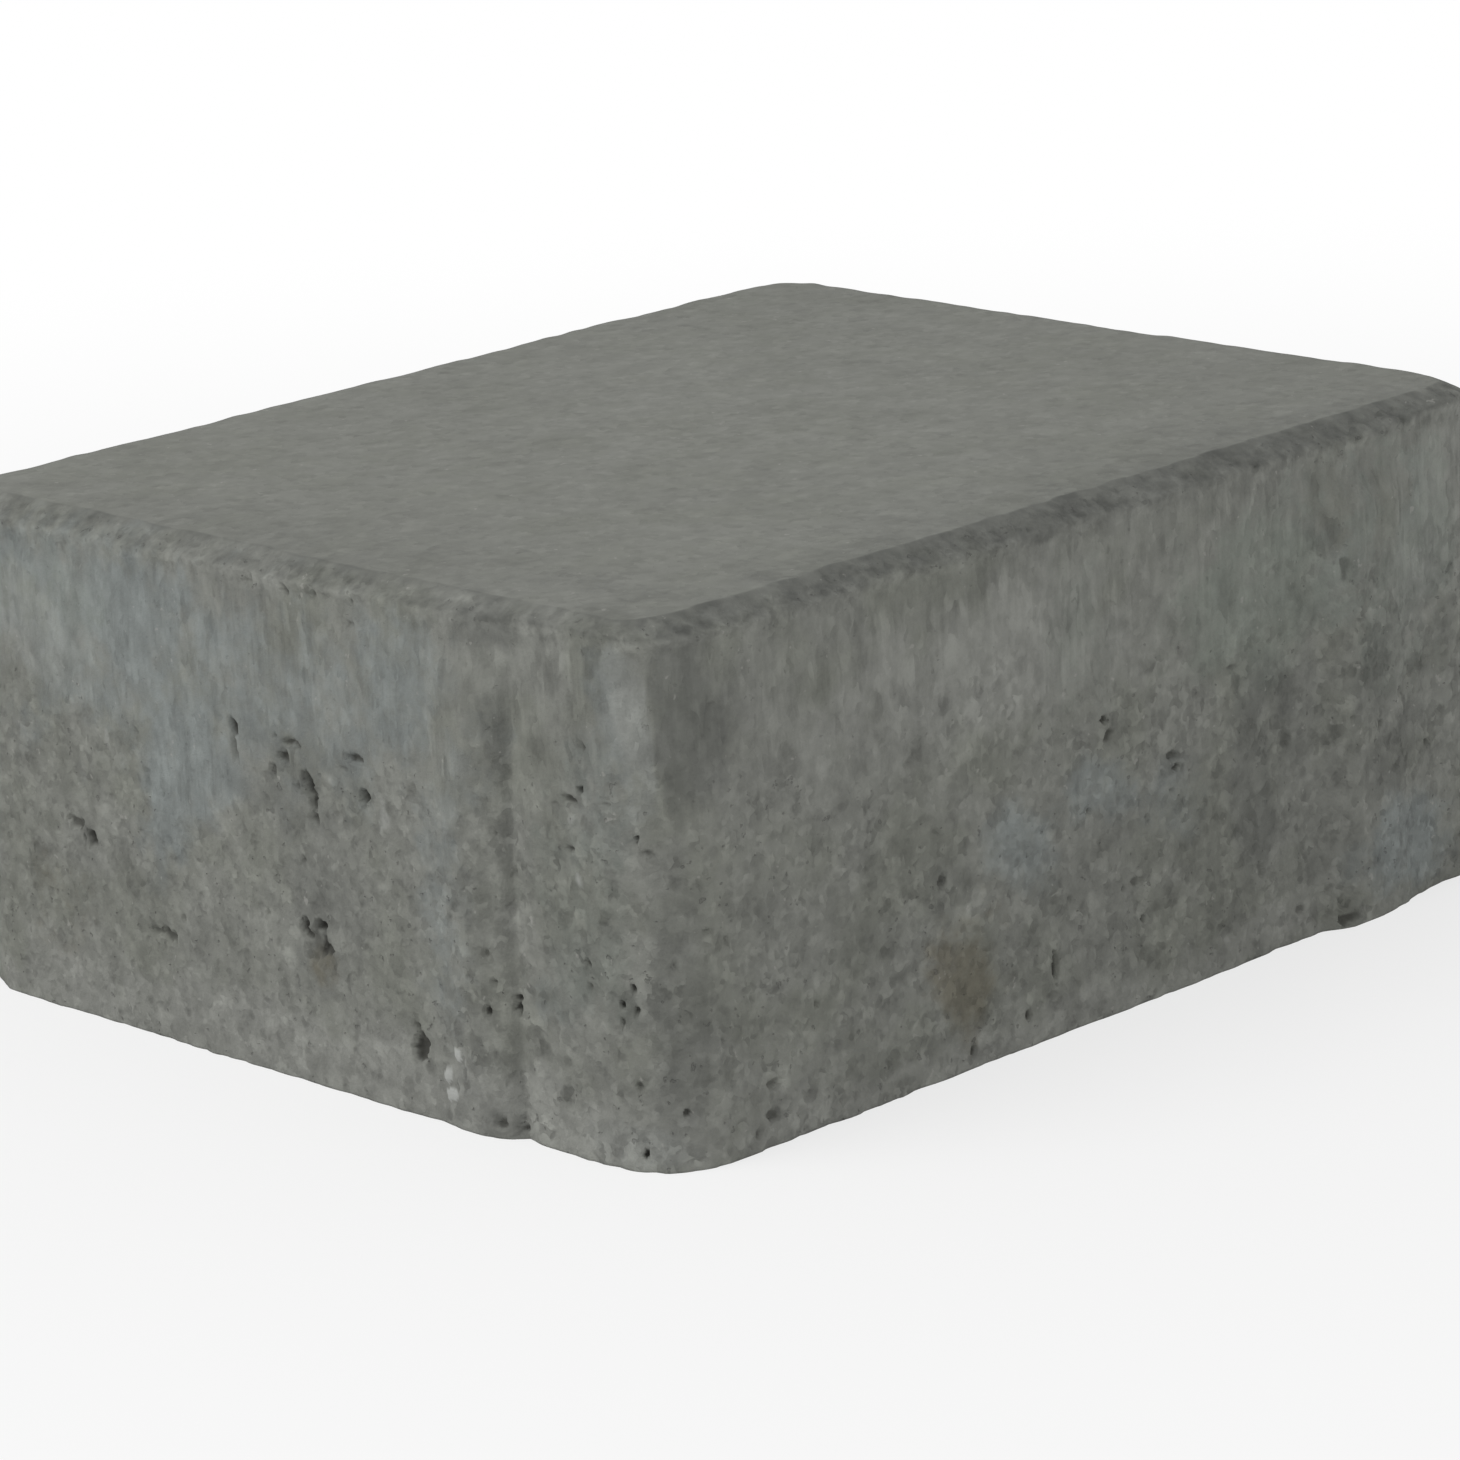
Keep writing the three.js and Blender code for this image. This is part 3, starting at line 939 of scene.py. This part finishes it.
def sandy_skin(g, vector, stretch):
    """Brightness of a sandy cement skin about zero: soft grains of two sizes, and fine sand.
    Stretch below one draws the grains out upright."""
    parts = g.node("SeparateXYZ", Vector=vector).outputs
    upright = g.times(parts["Z"], stretch)
    drawn = g.node("CombineXYZ", X=parts["X"], Y=parts["Y"], Z=upright).outputs[0]
    bend = g.node("TexNoise", Vector=drawn, Scale=0.6, Detail=1.0)
    bent = g.vector_math("MULTIPLY_ADD", bend.outputs["Color"], (2.2, 2.2, 2.2), drawn)
    grains = 0.0
    for spacing, share in ((2.8, 0.55), (1.5, 0.5)):
        cells = g.node("TexVoronoi", Vector=bent, Scale=1 / spacing).outputs
        tone = g.node("SeparateColor", Color=cells["Color"]).outputs["Red"]
        inner = g.ramp(cells["Distance"], 0.85, 0.25)
        grain = g.times(g.minus(tone, 0.5), inner)
        grains = g.build_up(grains, (grain, share))
    return grains, g.wave(vector, 0.5, 2, 0.6)


def specks(g, vector, size, level):
    """Scattered specks of uneven outline, in loose clusters."""
    fine = g.node("TexNoise", Vector=vector, Scale=g.math("DIVIDE", 1.0, size), Detail=2.0,
                  Roughness=0.6)
    raised = g.build_up(fine.outputs["Fac"], (g.wave(vector, 8, 1), 0.18))
    return [g.ramp(raised, level, g.plus(level, 0.06))]


def drag_marks(g, vector):
    """Upright drag marks of the mould about zero: thin streaks that come and go."""
    thin = g.wave(g.stretched(vector, (1.0, 1.0, 0.07)), 0.9, 2, 0.6)
    broad = g.wave(g.stretched(vector, (1.0, 1.0, 0.13)), 2.6, 2, 0.6)
    gate = g.ramp(g.noise(vector, 9, 1), 0.42, 0.62)
    return [g.build_up(g.times(g.times(thin, gate), 0.8), (broad, 0.4))]


# Finishes of the walls, the paste and darker concrete among them also painted light and shade:
# their masks, how ragged their edges are, and their strength
FINISHES_AND_LIGHT = (("paste", 0.6, 0.8), ("green", 0.9, 0.8), ("darker_and_shade", 0.6, 0.6))

# Heights between which the open skin gives way to the drawn one, and how far chance and
# laitance move them
SKIN_BORDER = (46, 68)
BORDER_CHANCE, BORDER_LAITANCE = 60.0, 22.0


class Concrete(Graph):
    """The concrete's nodes, with the place in millimetres and the colour laid so far. It is
    called c below."""

    def __init__(self, tree, colours):
        super().__init__(tree)
        self.colours = colours
        self.colour = (*colours.cement, 1.0)
        metres = self.node("TexCoord").outputs["Object"]
        self.place = self.stretched(metres, (1000, 1000, 1000))
        self.side = self.attribute("side")
        self.broken_edge = named_group(
            "Broken Edge", {"Mask": 0.0, "Raggedness": 1.0}, ["Mask"], broken_edge)
        self.specks = named_group("Specks", {"Size": 1.5, "Level": 0.65}, ["Mask"], specks)

    def coat(self, share, colour_name):
        """Lays one of the colours over those laid so far."""
        self.colour = self.mix(share, self.colour, (*getattr(self.colours, colour_name), 1.0))

    def about_zero(self, size, detail=2.0, roughness=0.5):
        return self.wave(self.place, size, detail, roughness)

    def ragged(self, name, raggedness):
        return self.group(self.broken_edge, Vector=self.place, Mask=self.attribute(name),
                          Raggedness=raggedness)["Mask"]

    def scattered(self, size, level, shift):
        moved = self.vector_math("ADD", self.place, shift)
        return self.group(self.specks, Vector=moved, Size=size, Level=level)["Mask"]


def lay_finish_and_light(c):
    """Clouds in the cement, the finish that casting leaves, and painted light and shade: a
    highlight on the near corner and the burr, and shade on the bevels and the nibs' flanks.
    Returns the laitance with its painted highlight.
    """
    clouds = c.ramp(c.noise(c.place, 14, 3, 0.55), 0.40, 0.66)
    c.coat(c.times(clouds, c.ramp(c.side, 0, 1, 0.5, 1.0)), "warm_cement")
    laitance_and_highlight = c.ragged("laitance_and_highlight", 0.8)
    c.coat(laitance_and_highlight, "laitance_and_highlight")
    for name, raggedness, share in FINISHES_AND_LIGHT:
        c.coat(c.times(c.ragged(name, raggedness), share), name)
    # The bevels darker, most in the hollows between crumbs on the front: partly dirt and partly
    # painted shade
    bevel_dirt_and_shade = c.ramp(c.about_zero(4), -0.2, 0.2, 0.45, 1.0)
    c.coat(c.times(c.attribute("bevel"), bevel_dirt_and_shade), "darker_and_shade")
    # Painted shade on the nibs' steep flanks
    c.coat(c.times(c.attribute("flank_shade"), 0.22), "darker_and_shade")
    # Painted highlight along the burr under the bevel
    c.coat(c.times(c.attribute("burr"), 0.4), "paste")
    c.coat(c.times(c.ragged("rust", 1.0), 0.6), "rust")
    return laitance_and_highlight


def shade_skin(c, laitance_and_highlight):
    """Brightens and darkens the skin, which is drawn out upright and closed above, and open
    and sandy below. Returns how far it is drawn out, and its grains, sand and drag marks."""
    height = c.node("SeparateXYZ", Vector=c.place).outputs["Z"]
    border = c.build_up(height, (c.about_zero(12), BORDER_CHANCE),
                        (laitance_and_highlight, BORDER_LAITANCE))
    edge = c.attribute("edge")
    dragged = c.times(c.ramp(border, *SKIN_BORDER), c.side)
    dragged = c.times(dragged, c.ramp(edge, 0, 1, 1.0, 0.25))
    skin = named_group("Sandy Skin", {"Stretch": 1.0}, ["Grains", "Sand"], sandy_skin)
    open_skin = c.group(skin, Vector=c.place, Stretch=1.0)
    drawn_skin = c.group(skin, Vector=c.place, Stretch=0.5)
    drawn_grains = c.times(drawn_skin["Grains"], c.times(dragged, 0.75))
    grains = c.plus(drawn_grains, c.times(open_skin["Grains"], c.minus(1.0, dragged)))
    sand = open_skin["Sand"]
    marks = c.group(named_group("Drag Marks", {}, ["Value"], drag_marks), Vector=c.place)
    marks = c.times(marks["Value"], c.ramp(dragged, 0, 1, 0.2, 1.0))
    marks = c.times(marks, c.side)

    # Broad blotches, grains, fine sand and drag marks
    factor = c.times(c.about_zero(5.5, 2, 0.65), 0.55)
    factor = c.build_up(factor, (c.about_zero(17, 1), 0.22), (grains, 0.8))
    factor = c.times(factor, c.ramp(c.side, 0, 1, 0.42, 1.0))
    factor = c.build_up(factor, (c.about_zero(2.6, 2, 0.6), c.times(edge, 0.9)),
                        (sand, c.ramp(c.side, 0, 1, 0.07, 0.20)), (marks, 0.45))
    scaled = c.node("VectorMath", {"operation": "SCALE"}, Scale=c.plus(1.0, factor))
    c.feed(scaled.inputs[0], c.colour)
    c.colour = scaled.outputs[0]
    return dragged, grains, sand, marks


def lay_spots(c, dragged):
    """Scattered sand grains, painted shade in fine pores and pits, pebbles, and painted shade
    inside the holes. Returns how deep the pores are."""
    c.coat(c.times(c.scattered(1.8, 0.70, (41, 7, 3)), 0.40), "pale_grain")
    closed = c.ramp(dragged, 0, 1, 1.0, 0.4)
    pits = c.times(c.ramp(c.noise(c.place, 3.4), 0.58, 0.74), c.side)
    pits = c.times(pits, closed)
    # Painted shade in shallow pits
    c.coat(c.times(pits, 0.24), "pore_shade")
    pores = c.times(c.scattered(1.5, 0.685, (5, 67, 29)), c.ramp(c.side, 0, 1, 0.2, 1.0))
    pores = c.times(pores, closed)
    # Painted shade in fine pores
    c.coat(c.times(pores, 0.35), "pore_shade")
    c.coat(c.times(c.attribute("pebble"), 0.8), "pebble")
    # Painted shade inside the air holes
    c.coat(c.ramp(c.attribute("hole_shade"), 0.25, 0.9), "hole_shade")
    return c.plus(pores, pits)


def concrete_material(colours):
    material = bpy.data.materials.new("grey_concrete")
    material.use_nodes = True
    c = Concrete(material.node_tree, colours)
    laitance_and_highlight = lay_finish_and_light(c)
    dragged, grains, sand, marks = shade_skin(c, laitance_and_highlight)
    pores = lay_spots(c, dragged)

    # Relief finer than the mesh
    relief = c.build_up(c.times(grains, 0.7), (sand, 0.35))
    relief = c.times(relief, c.ramp(c.side, 0, 1, 0.4, 1.0))
    relief = c.plus(relief, c.times(marks, 0.5))
    relief = c.minus(relief, c.times(pores, 0.6))
    bump = c.node("Bump", Strength=0.8, Distance=0.00045, Height=relief)
    surface = c.node("BsdfPrincipled", Base_Color=c.colour,
                     Roughness=c.ramp(laitance_and_highlight, 0, 1, 0.95, 0.82),
                     Specular_IOR_Level=0.25, Normal=bump.outputs["Normal"])
    c.node("OutputMaterial", Surface=surface.outputs["BSDF"])
    return material


# ---- Stage ----

WHITE = (1, 1, 1, 1)
MIDDLE = Vector((0, 0, solid_high[2] * MM / 2))

# Places and size of the lamps, and how far the floor reaches, in metres
KEY_PLACE = (-0.90, 0.24, 1.02)
FILL_PLACE = (0.05, -1.35, 0.5)
LAMP_SIZE = 0.9
FLOOR_REACH = 6


def floor_material(floor_colour):
    """Pale floor that keeps the stone's shadow, and fades to plain white away from it."""
    material = bpy.data.materials.new("pale_floor")
    material.use_nodes = True
    graph = Graph(material.node_tree)
    away = graph.node("VectorMath", {"operation": "LENGTH"})
    graph.feed(away.inputs[0], graph.node("TexCoord").outputs["Object"])
    white_share = graph.ramp(away.outputs["Value"], 0.1, 0.6, 0.7, 1.0)
    paint = graph.node("BsdfDiffuse", Color=(*floor_colour, 1))
    white = graph.node("Emission", Color=WHITE, Strength=1.0)
    share = graph.times(graph.seen(), white_share)
    mixed = graph.in_order("MixShader", {}, share, paint.outputs[0], white.outputs[0])
    graph.node("OutputMaterial", Surface=mixed)
    return material


def set_world(scene, brightness):
    """Soft light from all round, which is seen as plain white."""
    world = bpy.data.worlds.new("soft_light")
    world.use_nodes = True
    graph = Graph(world.node_tree)
    soft = graph.node("Background", Color=WHITE, Strength=brightness)
    white = graph.node("Background", Color=WHITE, Strength=1.0)
    mixed = graph.in_order("MixShader", {}, graph.seen(), soft.outputs[0], white.outputs[0])
    graph.node("OutputWorld", Surface=mixed)
    scene.world = world


def add_lamp(name, place, power):
    """A square lamp that faces the stone."""
    lamp = bpy.data.lights.new(name, "AREA")
    lamp.size = LAMP_SIZE
    lamp.energy = power
    lamp_object = new_object(name, lamp)
    lamp_object.location = place
    lamp_object.rotation_mode = "QUATERNION"
    lamp_object.rotation_quaternion = (MIDDLE - Vector(place)).to_track_quat("-Z", "Y")


def add_camera(stage):
    """Camera that looks at the stone's near corner, a little above its middle."""
    camera = bpy.data.cameras.new("camera")
    camera.sensor_width = 36
    camera.lens = stage.lens
    camera.clip_start = 0.05
    camera.clip_end = 20
    turn = (Matrix.Rotation(stage.azimuth, 4, "Z")
            @ Matrix.Rotation(math.pi / 2 - stage.elevation, 4, "X")
            @ Matrix.Rotation(stage.roll, 4, "Z"))
    step_back = Matrix.Translation((-stage.side_step, -stage.drop, stage.distance))
    camera_object = new_object("camera", camera)
    camera_object.matrix_world = Matrix.Translation(MIDDLE) @ turn @ step_back
    bpy.context.scene.camera = camera_object


# ---- Operators and panel ----


class CastStone(bpy.types.Operator):
    """Cast the paving stone and give it its finish"""

    bl_idname = "paving.cast_stone"
    bl_label = "Cast the Stone"

    def execute(self, context):
        mesh = cast_mesh(in_millimetres(context.scene.stone_sizes))
        mesh.materials.append(concrete_material(context.scene.stone_colours))
        stone = new_object(PIECE, mesh)
        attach(stone, "root")
        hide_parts(NODE)
        return {"FINISHED"}


class SetStage(bpy.types.Operator):
    """Lay the floor, light the stone and set up the camera"""

    bl_idname = "paving.set_stage"
    bl_label = "Set the Stage"

    def execute(self, context):
        stage = context.scene.stage_settings
        bm = bmesh.new()
        bmesh.ops.create_grid(bm, x_segments=8, y_segments=8, size=FLOOR_REACH)
        mesh = mesh_of(bm, "floor")
        mesh.materials.append(floor_material(stage.floor))
        floor = new_object("floor", mesh)
        set_world(context.scene, stage.sky)
        add_lamp("key_lamp", KEY_PLACE, stage.key)
        add_lamp("fill_lamp", FILL_PLACE, stage.fill)
        add_camera(stage)
        context.scene.view_settings.view_transform = "Standard"
        return {"FINISHED"}


class PavingPanel(bpy.types.Panel):
    """Lists the steps that make the paving stone"""

    bl_idname = "VIEW3D_PT_paving_stone"
    bl_label = "Paving Stone"
    bl_space_type = "VIEW_3D"
    bl_region_type = "UI"
    bl_category = "Paving Stone"

    def draw(self, context):
        layout = self.layout
        groups = (
            (CastStone, (context.scene.stone_sizes, context.scene.stone_colours)),
            (SetStage, (context.scene.stage_settings,)),
        )
        for operator, settings in groups:
            layout.operator(operator.bl_idname)
            for group in settings:
                for name in group.bl_rna.properties.keys():
                    if name not in ("rna_type", "name"):
                        layout.prop(group, name)


CLASSES = (StoneSizes, StoneColours, StageSettings, CastStone, SetStage, PavingPanel)


def register():
    for item in CLASSES:
        bpy.utils.register_class(item)
    bpy.types.Scene.stone_sizes = bpy.props.PointerProperty(type=StoneSizes)
    bpy.types.Scene.stone_colours = bpy.props.PointerProperty(type=StoneColours)
    bpy.types.Scene.stage_settings = bpy.props.PointerProperty(type=StageSettings)


def unregister():
    del bpy.types.Scene.stage_settings
    del bpy.types.Scene.stone_colours
    del bpy.types.Scene.stone_sizes
    for item in reversed(CLASSES):
        bpy.utils.unregister_class(item)


def main():
    register()
    bpy.ops.paving.set_stage()
    bpy.ops.paving.cast_stone()


if __name__ == "__main__":
    main()
